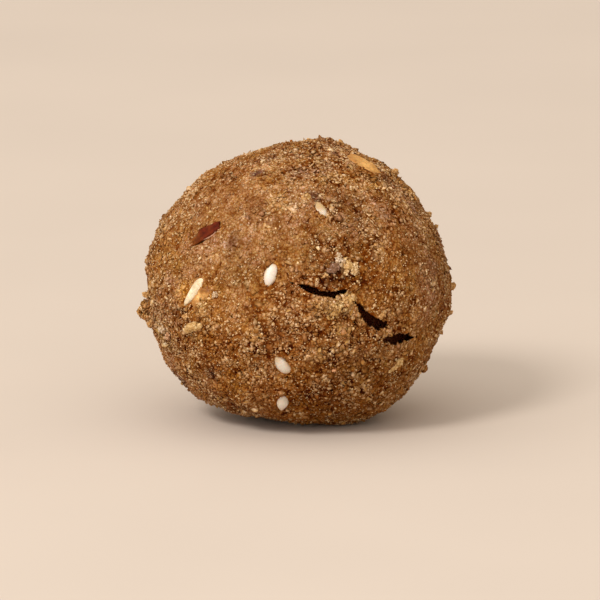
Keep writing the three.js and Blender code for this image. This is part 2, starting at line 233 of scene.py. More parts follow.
CRUMB_GROUPS = dict(length=2.2, mean=0.1, swing=1.2, least=0.03, seed=92)
BARE_EDGE = 0.15  # over what distance grains get rarer towards what is pressed in
FOOT_CLEAR = 0.35  # how far above the floor grains begin
NO_LENGTH = 1e-9  # keeps an empty face from having no normal

# Heaps of loose crumbs: right, up, spread, height, count, colour
HEAPS = dict(
    front=(
        (-19.4, -3.7, 1.2, 1.3, 170, "tan"), (-12.2, -4, 1.2, 0.4, 60, "brown"),
        (2.9, -2.6, 1, 0.4, 70, "tan"), (4.8, -3.1, 1.3, 0.5, 110, "gold"),
        (6.7, -2.3, 0.9, 0.55, 80, "gold"), (7.4, -3.6, 0.8, 0.4, 60, "tan"),
        (11.3, -6.4, 0.8, 0.4, 40, "tan"), (-2.6, 10.4, 1.6, 0.25, 60, "tan"),
        (14.6, 11.6, 1.2, 0.4, 40, "tan"), (-17.6, -6.4, 1.7, 0.3, 70, "grey"),
        (0.9, 10.6, 0.7, 0.3, 30, "tan"), (-3.6, 6.6, 0.9, 0.25, 30, "tan"),
        (6, -6.2, 1, 0.25, 40, "tan"), (2.4, -9.2, 1.2, 0.25, 50, "tan"), (-5.2, -6.8, 1, 0.25, 40, "tan"),
        (10.4, 4.2, 1.2, 0.25, 50, "tan"), (6.3, 2.3, 0.8, 0.4, 40, "gold"),
        (-12, -2.7, 1, 0.45, 70, "gold"),
    ),
    back=(
        (-2.2, 1.4, 1.6, 0.5, 90, "tan"), (6.4, 2.2, 1.4, 0.4, 60, "tan"), (-9.2, -9.4, 1.4, 0.4, 60, "tan"),
        (12.6, 4.6, 1.3, 0.4, 60, "brown"),
    ),
)
HEAP_SCATTER, HEAP_JITTER, HEAP_TONES = 0.6, 0.2, 0.2  # how crumbs spread, how loosely, and their tones

# Single lumps of crumb: right, up, turn, length, width, thickness, colour
CHUNKS = dict(
    front=(
        (-19.3, -4.1, 70, 1.8, 1.2, 1.6, "tan"), (-19.6, -3, 20, 1.1, 0.9, 1.6, "tan"),
        (-18.9, -5.2, 80, 1.2, 0.9, 1.1, "tan"), (-19.5, -1.5, 60, 0.9, 0.7, 1, "tan"),
        (-17.4, -5.9, 30, 1.3, 1, 0.7, "white"), (-16.6, -6.9, 60, 1, 0.8, 0.6, "pink"),
        (-13.3, -5.8, 24, 3, 1.15, 1.2, "gold"), (-14.1, -5.9, 40, 1.3, 0.8, 1.1, "cream"),
        (-14.2, -4.4, 70, 1, 0.8, 0.9, "tan"), (-12, -3.6, 10, 1.3, 1.1, 1.2, "tan"),
        (-10.6, -1.5, 40, 0.8, 0.7, 0.6, "white"), (5.3, 3.2, 80, 1.2, 0.9, 1, "white"),
        (5.7, 2.5, 20, 1.1, 0.9, 1, "white"), (6.5, 2, -10, 1.6, 1, 1.1, "gold"),
        (7.3, 1.6, 40, 1.2, 1, 1, "cream"), (6.2, 1.4, 70, 0.9, 0.7, 0.8, "cream"),
        (7.5, 2.2, 10, 0.7, 0.5, 0.7, "cream"), (4.8, 2, 10, 1.5, 1.1, 1, "mauve"),
        (4.2, 1.6, 60, 0.8, 0.7, 0.6, "mauve"), (3.6, 0.85, 10, 1, 0.4, 0.5, "tan"),
        (12.75, -10.65, 43, 2.3, 0.8, 0.8, "gold"), (3.3, -2.6, 0, 1.2, 0.8, 0.7, "tan"),
        (4.3, -3, 20, 1.2, 0.9, 0.8, "tan"), (5.5, -2.9, -10, 1.4, 0.9, 0.8, "gold"),
        (6.5, -2.1, 40, 1.2, 0.9, 0.8, "tan"), (7.2, -2.9, 70, 0.9, 0.7, 0.6, "tan"),
        (11.5, -6.45, 25, 1.9, 0.8, 0.8, "tan"), (8.2, -4.9, -50, 1.2, 0.6, 0.6, "tan"),
        (10.9, -4.2, 30, 0.9, 0.7, 0.6, "tan"), (16.6, -7.6, 20, 1, 0.7, 0.6, "tan"),
        (19.9, -0.5, 0, 1.1, 0.9, 1.2, "tan"), (19.5, -3.7, 40, 0.9, 0.7, 0.9, "tan"),
        (16.6, -11.2, 30, 1.1, 0.8, 1.1, "brown"), (13.4, -13.9, 70, 0.9, 0.8, 0.9, "brown"),
        (18.2, 7.4, 20, 0.8, 0.7, 0.8, "tan"), (17.3, 9, 80, 1, 0.8, 0.9, "tan"),
        (12.6, 14.2, 10, 1.1, 0.9, 1, "tan"), (5.75, 18, 50, 1, 0.8, 0.9, "tan"),
        (1.6, 18.4, 0, 0.8, 0.7, 0.7, "tan"), (5.2, 2.75, 45, 1, 0.9, 1, "white"),
    ),
    back=(
        (-2.4, 1.5, 20, 1.8, 1.2, 1.1, "tan"), (6.6, 2.1, 60, 1.5, 1.1, 1, "gold"),
        (-9.4, -9.2, 130, 1.6, 1, 1, "tan"), (12.8, 4.4, 40, 1.4, 1, 1, "pink"),
        (-6.6, 12.4, 10, 1.3, 0.9, 0.8, "white"), (1.8, -10.4, 80, 1.2, 0.9, 0.8, "tan"),
    ),
)
CHUNK_SPLITS = 9
CHUNK_STEP = 8  # how far along in the noise the next one is, so that no two are alike
CHUNK_UNEVENNESS, CHUNK_WAVES = 0.5, 0.65  # how far their outline is from an oval, and over what length
CHUNK_GRAIN, CHUNK_ROUGHNESS = 0.3, 0.34  # the size of their own grains, and how far these stand out
CHUNK_GAP, CHUNK_CAP, CHUNK_LEAST = 0.2, 0.5, 0.5  # where these begin and end, and the least height
CHUNK_LEVEL, CHUNK_MIDTONE, CHUNK_CONTRAST = 0.3, 0.35, 0.8  # the middle of their height and tone; raised grains are paler and gaps deeper, partly as painted light and shade
CHUNK_RISE = 0.16  # how far above the dough's surface their middle is, as a share of their thickness

# Sesame seeds: right, up, turn, size, sink, how far the tip is raised, how much of it is veiled by dough
SESAME = dict(length=3.1, width=1.68, thickness=1.1, taper=0.55, bluntness=2.2)
SESAME_SEEDS = dict(  # a veil below 0 is at the other end
    front=(
        (-3.4, 0.95, 252, 1.04, 0.12, 0, 0), (-1.95, -10.6, 129, 1.1, 0.24, 0, 0.3),
        (-1.85, -15.35, 258, 1.06, 0.16, 22, 0), (3.1, 9.5, 306, 0.94, 0.36, 0, -0.88),
    ),
    back=(
        (4.2, 6.4, 25, 1, 0.22, 0, 0), (-9.6, 8.2, 110, 1, 0.26, 0, 0.2), (9.4, -2.6, 150, 0.95, 0.22, 8, 0),
        (-2.1, -5.7, 60, 1, 0.2, 0, 0), (-12.8, -4.4, 20, 1, 0.26, 0, -0.3), (5.2, -12.2, 95, 1, 0.26, 10, 0),
        (2.4, 14.6, 170, 1, 0.3, 0, 0.2),
    ),
)
SEED_WAVES, SEED_UNEVENNESS, SEED_STEP = 0.9, 0.03, 7  # the step in the noise is from seed to seed
SEED_SPOTS, SPOT_STRENGTH, SPOT_STEP = 0.6, 0.12, 3
SEED_RIM, SEED_RIM_POWER, SEED_TONE = 0.75, 4, 0.2  # how dark the rim is, how narrow, and the rest
VEIL_COVER, VEIL_RANGE, VEIL_REACH, VEIL_RAGGED = 0.85, (0.8, 1.7), 2, 4  # how the dough covers an end


class NutKind(NamedTuple):
    """A kind of nut piece."""

    colour: tuple
    top: float  # how far it stands out of the ball
    cut: float  # how far from its middle it is cut flat
    taper: float  # how much narrower its far end is
    bare: float  # where grains of dough start to cover it: 1 is its edge
    contrast: float  # how uneven it is
    bluntness: float  # 2 is an oval, and more is a block


NUT_KINDS = dict(
    golden=NutKind((196, 142, 74), 0.3, 0.82, 0.1, 0.64, 0.9, 2.8),
    white=NutKind((224, 204, 170), 0.46, 1, 0.5, 0.95, 0.35, 2.5),
    amber=NutKind((190, 138, 74), 0.32, 0.85, 0.1, 0.25, 1.6, 2.4),
    tan=NutKind((176, 122, 78), 0.3, 0.55, 0.1, 0.6, 1.6, 2.4),
    honey=NutKind((178, 126, 60), 0.3, 0.5, 0.3, 0.6, 1.8, 2.4),
)
NUTS = dict(  # right, up, turn, length, width, thickness, kind
    front=(
        (8.75, 15.3, -28, 5.9, 3.9, 1.8, "golden"), (-13.35, -1.35, 234, 5.3, 1.4, 1.8, "white"),
        (-12.5, -2.25, 54, 4.8, 2.8, 1.6, "amber"), (8.4, -10.1, 80, 1.1, 0.9, 0.8, "honey"),
        (4.8, -11.1, 20, 0.8, 0.7, 0.6, "tan"), (4.2, -16.8, 40, 0.9, 0.8, 0.6, "honey"),
        (4.9, -14.1, 40, 0.9, 0.6, 0.6, "honey"),
    ),
    back=(
        (10.6, 9.6, 140, 3.8, 2.4, 1.8, "golden"), (-6.2, -12.4, 35, 3.8, 2.2, 1.6, "amber"),
        (-15.4, 3.4, 80, 3, 2.2, 1.5, "white"),
    ),
)
NUT_SEED, NUT_SPLITS = 21, 16
NUT_SEAT = 0.92  # the share of their size that the dough's rim lies round
NUT_CUTS, CUT_LEAN, CUT_SHARE = 6, (1, 1, 0.3), 0.85  # flat cuts, mostly upright, and how flat they are
NUT_FLATNESS = 0.6  # how flat their faces are: the power of their height
NUT_BUMPS = (0.9, 0.1), (0.4, 0.08)  # the length and height of their coarse and fine unevenness
NUT_MOTTLE, NUT_SPOTS = 1.3, 0.4  # the lengths at which their tone changes
NUT_STEP, MOTTLE_STEP = 9, 5  # how far along in the noise of bumps and of mottling the next piece is
NUT_TONE, NUT_RIM, NUT_RIM_RANGE = 0.22, -0.35, (0.5, 1)  # how much it changes, and the darker rim

# Slivers of almond skin: right, up, turn
SKIN = dict(length=5.7, width=3.0, thickness=0.5, taper=0.75)
SKIN_SLIVERS = dict(front=((-11.8, 5.85, 212),), back=((2.6, -1.4, 160),))
SKIN_STRAIGHT = 0.2  # how far the straight edge bulges, as a share of the round one
SKIN_LIFT, SKIN_RIM = 0.07, 0.04  # how far they lie above the dough, and the height of its rim round them
SKIN_BARE = 0.9  # where grains start to cover them: 1 is the edge
SKIN_CURL, SKIN_CURL_TURN = 0.12, 2.2  # how high they curl, and how often
SKIN_JAGS = ((0.6, 0.22, 76), (0.28, 0.16, 78))  # the length, height and seed of the unevenness of the edge
TAIL_START, TAIL_RISE, TAIL_WAVES, TAIL_SWING = 0.3, 1.2, 1.2, 0.5  # where the tail is paler
SKIN_STREAK, STREAK_LENGTH, STREAK_STRENGTH = (0.4, 1.6, 1), 0.4, 0.4  # long streaks of tone
PALE_EDGE, PALE_EDGE_PLACE, PALE_EDGE_RANGE = 0.9, -0.3, (0.425, 0.175)  # where the straight edge is pale

# Colours as seen in daylight, 0 to 255
# painted shade for the walls of the cracks
CRACK_SHADE_COLOUR = (110, 56, 29)
CRUMB_COLOURS = dict(
    tan=(178, 134, 84), brown=(142, 94, 46), white=(190, 162, 130), grey=(162, 128, 90), pink=(176, 132, 96),
    gold=(188, 150, 98), mauve=(136, 102, 80), cream=(202, 168, 122),
)
PALE_GRAIN = (238, 208, 160)
SEED_COLOUR, SEED_EDGE, SEED_VEIL = (226, 219, 209), (194, 160, 114), (186, 146, 86)
SKIN_COLOUR, SKIN_TAIL, SKIN_EDGE = (84, 26, 7), (112, 60, 18), (226, 180, 150)
FLOOR_COLOUR = (202, 187, 173)

# Materials: roughness, specular level, strength and length of mottling and of bumps, light that goes in
FINISHES = dict(
    flakes=(0.65, 0.03, 0.45, 0.35, 0.5, 0.2, 0),
    grains=(0.65, 0.03, 0.25, 0.2, 0.2, 0.12, 0),
    specks=(0.45, 0.08, 0.1, 0.2, 0.1, 0.1, 0),
    crumbs=(0.65, 0.03, 0.3, 0.2, 0.3, 0.12, 0),
    chunks=(0.65, 0.03, 0.3, 0.25, 0.4, 0.15, 0),
    sesame=(0.42, 0.45, 0.04, 0.5, 0.06, 0.15, 0.25),
    nut=(0.45, 0.3, 0.2, 0.4, 0.25, 0.2, 0.15),
    almond_skin=(0.6, 0.06, 0.3, 0.4, 0.3, 0.25, 0),
)
NOISE_RANGE = (0.3, 0.7)  # the values that a shader's noise mostly keeps to
ROUGHNESS_CHANGE = 0.1
BUMP_DETAIL = 3.0  # how many finer layers the noise of the bumps has
GLOW_REACH, GLOW_COLOUR = 0.25, (1.0, 0.5, 0.25)  # how far light goes in, and how far each colour of it

# The floor, the light and the camera
FLOOR_HALF = 3  # half its side, in metres
FLOOR_CLOUDS, FLOOR_CHANGE, FLOOR_ROUGHNESS = 60.0, 0.02, 0.9
KEY_PLACE, KEY_SIZE = (-0.6, -0.74, 0.87), 0.35  # in metres
KEY_POWER, KEY_COLOUR = 9.0, (1.0, 0.98, 0.95)
SKY_LEAN = (-0.42, -0.57, 0.7)  # the way the soft light comes from
SKY_STRENGTH = (0.06, 1.38)  # its strength from the other side and from there
SKY_COLOURS = (1.0, 0.76, 0.46), (1.0, 0.995, 0.985)  # its colour from the other side and from there
PICTURE, PIXELS_PER_MM = 600, 7.65
PICTURE_SHIFT = (3, -17)  # how many pixels right of the ball's middle and above it the picture's middle is
SENSOR, EYE_DISTANCE = 36, 1200.0
EYE_END = 20  # how far it sees, in metres


def linear(colour):
    """A colour of 0 to 255 as the linear light that shaders take."""
    share = np.asarray(colour, dtype=float) / 255
    return np.where(share <= 0.04045, share / 12.92, ((share + 0.055) / 1.055) ** 2.4)


def draw(number):
    """A repeatable draw from 0 to 1 for a whole number, as in the solid."""
    return (math.sin(number * 12.9898) * 43758.5453) % 1.0


def ramp(value, start, end):
    """0 before the start, 1 beyond the end and even in between. The end may be the lower one."""
    return np.clip((value - start) / (end - start), 0, 1)


def bump(away, reach):
    """A soft bump that is 1 in its middle and falls off over the reach."""
    return np.exp(-((away / reach) ** 2))


def mixed(share, first, second):
    """A mix of two colours for each vertex, by the second one's share."""
    return first + share[:, None] * (second - first)


def unit(vectors):
    """The same directions with a length of 1."""
    return vectors / np.linalg.norm(vectors, axis=-1, keepdims=True)


def rows(table):
    """The rows of a table that lists them by side or by colour, each with that in front."""
    return [(word, *row) for word, listed in table.items() for row in listed]


def look_at(sign):
    """The directions right, up and towards the eye for a look at the front (1) or the back (-1)."""
    toward = np.array([0, -sign * math.cos(VIEW_RISE), math.sin(VIEW_RISE)])
    right = np.array([sign, 0, 0])
    return right, np.cross(toward, right), toward


SIDES = dict(front=look_at(1), back=look_at(-1))


def spiral_direction(index, count, turned):
    """One of many directions that are spread evenly over a sphere."""
    z = 1 - (2 * index + 1) / count
    across = math.sqrt(1 - z * z)
    angle = index * GOLDEN_ANGLE + turned
    return np.array([across * math.cos(angle), across * math.sin(angle), z])


def ball_radius(directions):
    """The bare ball's radius in each direction, before its foot is cut flat."""
    halves = np.array([WIDTH, DEPTH, HEIGHT]) / 2
    radius = 1 / np.linalg.norm(directions / halves, axis=-1)
    right, up, _ = SIDES["front"]
    for around, height, reach in PRESSES:
        axis = math.cos(math.radians(around)) * right + math.sin(math.radians(around)) * up
        angle = np.degrees(np.arccos(np.clip(directions @ axis, -1, 1)))
        radius += height * np.cos(np.clip(angle / reach, 0, 1) * math.pi / 2) ** 2
    for number, (waves, length, height) in enumerate(LUMPS):
        for wave in range(waves):
            beat = directions @ spiral_direction(wave, waves, number + 1) * math.pi * WIDTH / length
            radius += height * np.sin(beat + 2 * math.pi * draw(100 * number + wave))
    return radius - GRAIN_ROOM


FOOT = np.array([[0, 0, -1.0]])
MIDDLE = np.array([0, 0, ball_radius(FOOT)[0] + GRAIN_ROOM - REST_SHAVE])


def seen_direction(side, right, up):
    """The direction from the ball's middle to the spot seen that far right of it and above it."""
    rightward, upward, toward = SIDES[side]
    reach = WIDTH / 2
    for _ in range(SETTLING_ROUNDS):
        depth = math.sqrt(max(0, reach**2 - right**2 - up**2))
        direction = unit(right * rightward + up * upward + depth * toward)
        reach = ball_radius(direction[None])[0]
    return direction


def surface_point(direction):
    """The point on the bare ball in a direction from its middle."""
    return MIDDLE + direction * ball_radius(direction[None])[0]


def surface_normal(direction):
    """The ball's outward normal, from two short steps along its surface."""
    step = 0.02
    first = unit(np.cross(direction[[2, 0, 1]], direction))
    second = np.cross(direction, first)
    here = surface_point(direction)
    ahead, aside = (surface_point(unit(direction + step * way)) - here for way in (first, second))
    return unit(np.cross(ahead, aside))


def seat(side, right, up, turn):
    """A place on the ball: the axes along the turn, across it and out of the surface, and the point."""
    rightward, upward, toward = SIDES[side]
    direction = seen_direction(side, right, up)
    normal = surface_normal(direction)
    angle = math.radians(turn)
    along = math.cos(angle) * rightward + math.sin(angle) * upward
    along = unit(along - toward * (along @ normal) / (toward @ normal))
    return np.array([along, np.cross(normal, along), normal]), surface_point(direction)


def laid(shape, place, rise):
    """The vertices of a shape that lies at a place on the ball, raised out of it or sunk into it."""
    axes, point = seat(*place)
    return shape @ axes + point + rise * axes[2]


def away_from(points, side, right, up):
    """How far each point is from a spot on the ball."""
    return np.linalg.norm(points - surface_point(seen_direction(side, right, up)), axis=1)


def hashed(cells, seed):
    """A repeatable number from 0 to 1 for each cell of a grid, from its bits mixed with large primes."""
    bits = cells[:, 0] * 73856093 ^ cells[:, 1] * 19349663 ^ cells[:, 2] * 83492791 ^ seed * 2654435761
    bits = ((bits ^ (bits >> 13)) * 1274126177) & 0xFFFFFFFF
    bits = ((bits ^ (bits >> 15)) * 2246822519) & 0xFFFFFFFF
    return (bits ^ (bits >> 16)) / 2**32


def soft_noise(points, length, seed):
    """Smooth noise from -1 to 1 with swells about that length apart."""
    scaled = points / length
    cell = np.floor(scaled).astype(np.int64)
    part = scaled - cell
    part = part * part * (3 - 2 * part)
    total = np.zeros(len(points))
    for corner in itertools.product((0, 1), repeat=3):
        weight = np.prod(np.where(corner, part, 1 - part), axis=1)
        total += weight * hashed(cell + np.array(corner), seed)
    return 2 * total - 1


def noises(points, layers, seed):
    """Layers of smooth noise, each with its length and height, added up."""
    return sum(height * soft_noise(points, length, seed + n) for n, (length, height) in enumerate(layers))


def shifted(points, length, shift, seed):
    """Points moved about by smooth noise, so that edges drawn through them wander."""
    return points + shift * np.stack([soft_noise(points, length, seed + axis) for axis in range(3)], axis=1)


def lumps(points, length, seed):
    """Lumps about that length apart: how near each point is to a lump's middle, and the lump's number."""
    scaled = points / length
    cell = np.floor(scaled).astype(np.int64)
    nearest = np.full(len(points), np.inf)
    number = np.zeros(len(points))
    for offset in itertools.product((-1, 0, 1), repeat=3):
        other = cell + np.array(offset)
        spot = other + np.stack([hashed(other, seed + axis) for axis in range(3)], axis=1)
        away = np.linalg.norm(spot - scaled, axis=1)
        number = np.where(away < nearest, hashed(other, seed + 3), number)
        nearest = np.minimum(nearest, away)
    return np.clip(1 - nearest, 0, 1), number


def crack_inset(points):
    """How far inside a crack's edge each point lies, counted from the ball's middle; negative outside."""
    inset = np.full(len(points), -np.inf)
    for side, stations in CRACKS:
        right, up, toward = SIDES[side]
        seen = np.stack([points @ right, points @ up], axis=1)
        for start, end in itertools.pairwise(np.array(stations)):
            run = end[:2] - start[:2]
            along = np.clip((seen - start[:2]) @ run / (run @ run), 0, 1)
            half = start[2] + along * (end[2] - start[2])
            away = np.linalg.norm(seen - start[:2] - along[:, None] * run, axis=1)
            inset = np.where(points @ toward > 0, np.maximum(inset, half - away), inset)
    return inset


def geodesic(splits):
    """An icosahedron with each face split into small triangles, as unit directions and faces."""
    whole = bmesh.new()
    bmesh.ops.create_icosphere(whole, subdivisions=1, radius=1)
    corners = np.array([v.co for v in whole.verts])
    triangles = np.array([[v.index for v in f.verts] for f in whole.faces])
    whole.free()
    steps = [(i, j) for i in range(splits + 1) for j in range(splits + 1 - i)]
    number = {step: n for n, step in enumerate(steps)}
    weights = np.array([(i, j, splits - i - j) for i, j in steps]) / splits
    small = []
    for i, j in steps:
        if i + j < splits:
            small.append((number[i + 1, j], number[i, j + 1], number[i, j]))
        if i + j < splits - 1:
            small.append((number[i + 1, j], number[i + 1, j + 1], number[i, j + 1]))
    points = unit((weights @ corners[triangles]).reshape(-1, 3))
    faces = (np.array(small) + len(steps) * np.arange(len(triangles))[:, None, None]).reshape(-1, 3)
    _, first, inverse = np.unique(points.round(6), axis=0, return_index=True, return_inverse=True)
    return points[first], inverse.reshape(-1)[faces]


def split_near(directions, faces, chosen):
    """Splits the edges that are chosen by their middles, and keeps every face a triangle."""
    mesh = bpy.data.meshes.new("split")
    mesh.from_pydata(directions, [], faces)
    split = bmesh.new()
    split.from_mesh(mesh)
    middles = np.array([(e.verts[0].co + e.verts[1].co) / 2 for e in split.edges])
    edges = [edge for edge, taken in zip(split.edges, chosen(unit(middles))) if taken]
    bmesh.ops.subdivide_edges(split, edges=edges, cuts=1, use_grid_fill=True)
    bmesh.ops.triangulate(split, faces=[f for f in split.faces if len(f.verts) > 3])
    split.to_mesh(mesh)
    split.free()
    points = np.array([v.co for v in mesh.vertices])
    corners = np.array([p.vertices[:] for p in mesh.polygons])
    bpy.data.meshes.remove(mesh)
    return unit(points), corners


def near_crack(reach):
    """A test of which directions are in a crack or no farther from one than the reach."""
    return lambda directions: crack_inset(directions * ball_radius(directions)[:, None]) > -reach


def crumbling(bare):
    """How much the dough crumbles at each point of the bare ball."""
    crumble = CRUMBLE_MEAN + CRUMBLE_SWING * soft_noise(bare, CRUMBLE_LENGTH, seed=5)
    for side, right, up, radius, change in rows(PATCHES):
        crumble += change * ramp(away_from(bare + MIDDLE, side, right, up) / radius, *PATCH_RANGE)
    return np.clip(crumble, *CRUMBLE_LIMITS)


class Dough:
    """The ball's dough: its mesh and colours, and what grains need to know to lie on it."""

    def __init__(self, pressed):
        directions, self.faces = geodesic(BALL_SPLITS)
        for reach in (FINE_REACH, FINEST_REACH):
            directions, self.faces = split_near(directions, self.faces, near_crack(reach))
        radius = ball_radius(directions)
        bare = directions * radius[:, None]
        inset = crack_inset(bare)
        self.inset = inset + noises(bare, CRACK_JAGS, seed=40) * ramp(inset, *JAG_RANGE)
        self.crumble = crumbling(bare)
        self.level, height = self.relief(bare, pressed)
        raised = directions * (radius + height)[:, None]
        deep = CRACK_DEPTH * ramp(self.inset, 0, CRACK_WALL) ** WALL_CURVE
        toward = np.where(bare[:, 1:2] < 0, SIDES["front"][2], SIDES["back"][2])
        self.vertices = raised - toward * deep[:, None] + MIDDLE
        self.vertices[:, 2] = np.maximum(self.vertices[:, 2], 0)
        self.colours, self.grain_colours = self.paint(bare)

    def relief(self, bare, pressed):
        """Each vertex's level among the flakes round it, which colours it partly as painted shade in gaps and
        pits and painted light on raised flakes, and its height over the bare ball.
        """
        warped = shifted(bare, WARP_LENGTH, WARP, seed=6)
        height = noises(bare, SWELLS, seed=10)
        level = np.zeros(len(bare))
        for number, (length, rise) in enumerate(FLAKES):
            near, own = lumps(warped, length, seed=20 + 4 * number)
            stand = ramp(near, *FLAKE_SIDE) - FLAKE_MEAN + FLAKE_SPREAD * (own - 0.5)
            height += rise * stand * (SMOOTH_RELIEF + (1 - SMOOTH_RELIEF) * self.crumble)
            level += stand
        near, own = lumps(bare, PIT_SPACING, seed=36)
        pit = ramp(near, *PIT_SIDE) * (own < PIT_SHARE)
        height -= PIT_DEPTH * pit
        near, own = lumps(warped, HEAP_LUMP, seed=60)
        lumpy = HEAP_BASE + HEAP_LUMPS * np.clip(near - LUMP_START, 0, 1) * (LUMP_LEAST + own)
        for side, right, up, spread, rise, *_ in rows(HEAPS):
            height += rise * bump(away_from(warped + MIDDLE, side, right, up), spread) * lumpy
        for item in pressed:
            away = item.away(bare + RIM_WARP * (warped - bare) + MIDDLE)
            height += item.rim * bump(away - RIM_PLACE, RIM_REACH)
            height -= HOLLOW * ramp(away, *HOLLOW_SIDE)
        outside = np.clip(-self.inset, 0, None)
        return level - PIT_SHADE * pit, height + LIP_HEIGHT * bump(outside, LIP_REACH)

    def paint(self, bare):
        """The dough's colours between its grains and on them: tinted in patches, some of them painted shade
        and painted warm light, darker in its gaps and paler on its flakes partly as painted shade and light,
        and with painted shade in the cracks.
        """
        speckle = noises(bare, [(length, 1) for length in SPECKLES], seed=50)
        level = self.level / self.level.std() + SPECKLE_SHARE * speckle / speckle.std()
        level = (level - level.mean()) / level.std() * (SMOOTH_TONE + (1 - SMOOTH_TONE) * self.crumble)
        swell = noises(bare, SWELL_TONES, seed=55)
        wander = shifted(bare, WANDER_LENGTH, WANDER, seed=66) + MIDDLE
        tint = tints(bare, wander)
        # painted shade: the gaps are deeper and more saturated where it crumbles
        gaps = np.exp(-ROUGH_GAP_SHADE * self.crumble[:, None])
        between = palette(swell + level - ROUGH_SHADE * self.crumble) * tint * gaps
        grains = palette(swell + GRAIN_TONE) * tint
        contrast = np.exp(HEAP_CONTRAST * level[:, None].clip(*HEAP_LEVELS)) ** PALER
        for side, right, up, spread, _, _, kind in rows(HEAPS):
            share = HEAP_SHARE * ramp(away_from(wander, side, right, up) / spread, *HEAP_RANGE)
            between = mixed(share, between, linear(CRUMB_COLOURS[kind]) * contrast)
            grains = mixed(share, grains, linear(CRUMB_COLOURS[kind]))
        # painted shade in the cracks
        return mixed(ramp(self.inset, *CRACK_SHADE_INSETS), between, linear(CRACK_SHADE_COLOUR)), grains


def palette(level):
    """The dough's colour at each level, from its gaps to its palest flakes."""
    steps, tones = zip(*PALETTE)
    return np.stack([np.interp(level, steps, channel) for channel in linear(tones).T], axis=1)


def tints(bare, wander):
    """What the dough's colour is multiplied by, in soft patches all over and in single stains, some of which
    are painted shade and painted warm light.
    """
    tint = np.ones((len(bare), 3))
    for number, (kind, length, finer, start) in enumerate(TINT_PATCHES):
        share = start + TINT_SWING * soft_noise(bare, length, seed=60 + number)
        share += TINT_FINER * soft_noise(bare, finer, seed=75 + number)
        tint *= 1 + TINT_STRENGTH * np.clip(share, 0, 1)[:, None] * (np.array(TINTS[kind]) - 1)
    swing = noises(bare, HUE_SWINGS, seed=110)[:, None]
    tint *= np.exp(np.where(swing < 0, swing * TO_HONEY, swing * TO_MAUVE))
    for side, kinds in STAINS_AND_PAINTED_LIGHT.items():
        for kind, right, up, radius, strength in rows(kinds):
            share = strength * ramp(away_from(wander, side, right, up) / radius, *STAIN_RANGE)
            tint *= 1 + share[:, None] * (np.array(TINTS[kind]) - 1)
    return tint


def scatter(kind, dough, weight, rng):
    """Random spots on the dough by area and weight: places, normals and the colours of grains there."""
    corners = dough.vertices[dough.faces]
    crossed = np.cross(corners[:, 1] - corners[:, 0], corners[:, 2] - corners[:, 0])
    area = np.linalg.norm(crossed, axis=1)
    share = area * (weight * (kind.smooth + dough.crumble))[dough.faces].mean(axis=1)
    chosen = rng.choice(len(share), size=kind.count, p=share / share.sum())
    spread = rng.dirichlet((1, 1, 1), kind.count)
    places = (corners[chosen] * spread[:, :, None]).sum(axis=1)
    normals = unit(crossed[chosen] + NO_LENGTH)
    colours = dough.grain_colours[dough.faces[chosen]].mean(axis=1)
    return places, normals, colours


def octahedron():
    """A flattened octahedron round the origin: vertices and faces."""
    vertices = [(1, 0, 0), (-1, 0, 0), (0, 1, 0), (0, -1, 0), (0, 0, GRAIN_FLATNESS), (0, 0, -GRAIN_FLATNESS)]
    faces = [(0, 2, 4), (2, 1, 4), (1, 3, 4), (3, 0, 4), (2, 0, 5), (1, 2, 5), (3, 1, 5), (0, 3, 5)]
    return np.array(vertices), np.array(faces)


def flake(sides, thickness):
    """A flat flake round the origin, with a point above and one below: vertices and faces."""
    angles = np.arange(sides) * 2 * math.pi / sides
    rim = np.stack([np.cos(angles), np.sin(angles), 0 * angles], axis=1)
    vertices = np.vstack([rim, (0, 0, thickness), (0, 0, -thickness)])
    ring = np.arange(sides)
    after = (ring + 1) % sides
    above = np.stack([ring, after, np.full(sides, sides)], axis=1)
    below = np.stack([after, ring, np.full(sides, sides + 1)], axis=1)
    return vertices, np.concatenate([above, below])


def lying_turns(normals, tilt, rng):
    """Rotations that lay things flat on the surface, turned at random and tilted a little."""
    out = unit(normals + tilt * rng.normal(size=normals.shape))
    along = unit(np.cross(out, rng.normal(size=normals.shape)))
    return np.stack([along, np.cross(out, along), out], axis=2)


def lay(kind, shape, places, normals, rng):
    """Many grains of a kind as one mesh: vertices, faces, and the grain that each vertex belongs to."""
    base, base_faces = shape
    count = len(places)
    least, greatest = kind.sizes
    sizes = least + (greatest - least) * rng.random(count) ** kind.power
    lifted = places + kind.lift * sizes[:, None] * normals
    turns = lying_turns(normals, kind.tilt, rng)
    uneven = 1 + kind.unevenness * rng.uniform(-1, 1, (count, len(base), 1))
    stretched = base * uneven * rng.uniform(*STRETCH, (count, 1, 3))
    turned = np.einsum("gij,gvj->gvi", turns, stretched)
    vertices = (lifted[:, None] + turned * sizes[:, None, None] / 2).reshape(-1, 3)
    vertices[:, 2] = np.maximum(vertices[:, 2], 0)
    faces = (base_faces + len(base) * np.arange(count)[:, None, None]).reshape(-1, 3)
    return vertices, faces, np.repeat(np.arange(count), len(base))


def make_piece(name, vertices, faces, colours, material, slot, smooth=True):
    """A piece from millimetres, with a colour for each vertex, that moves with the ball."""
    mesh = bpy.data.meshes.new(name)
    mesh.from_pydata(vertices * MM, [], faces)
    mesh.polygons.foreach_set("use_smooth", np.full(len(mesh.polygons), smooth))
    layer = mesh.color_attributes.new("colour", "FLOAT_COLOR", "POINT")
    rgba = np.concatenate([colours, np.ones((len(colours), 1))], axis=1)
    layer.data.foreach_set("color", rgba.astype(np.float32).ravel())
    mesh.materials.append(material)
    piece = bpy.data.objects.new(name, mesh)
    bpy.context.collection.objects.link(piece)
    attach(piece, "root")
    return piece


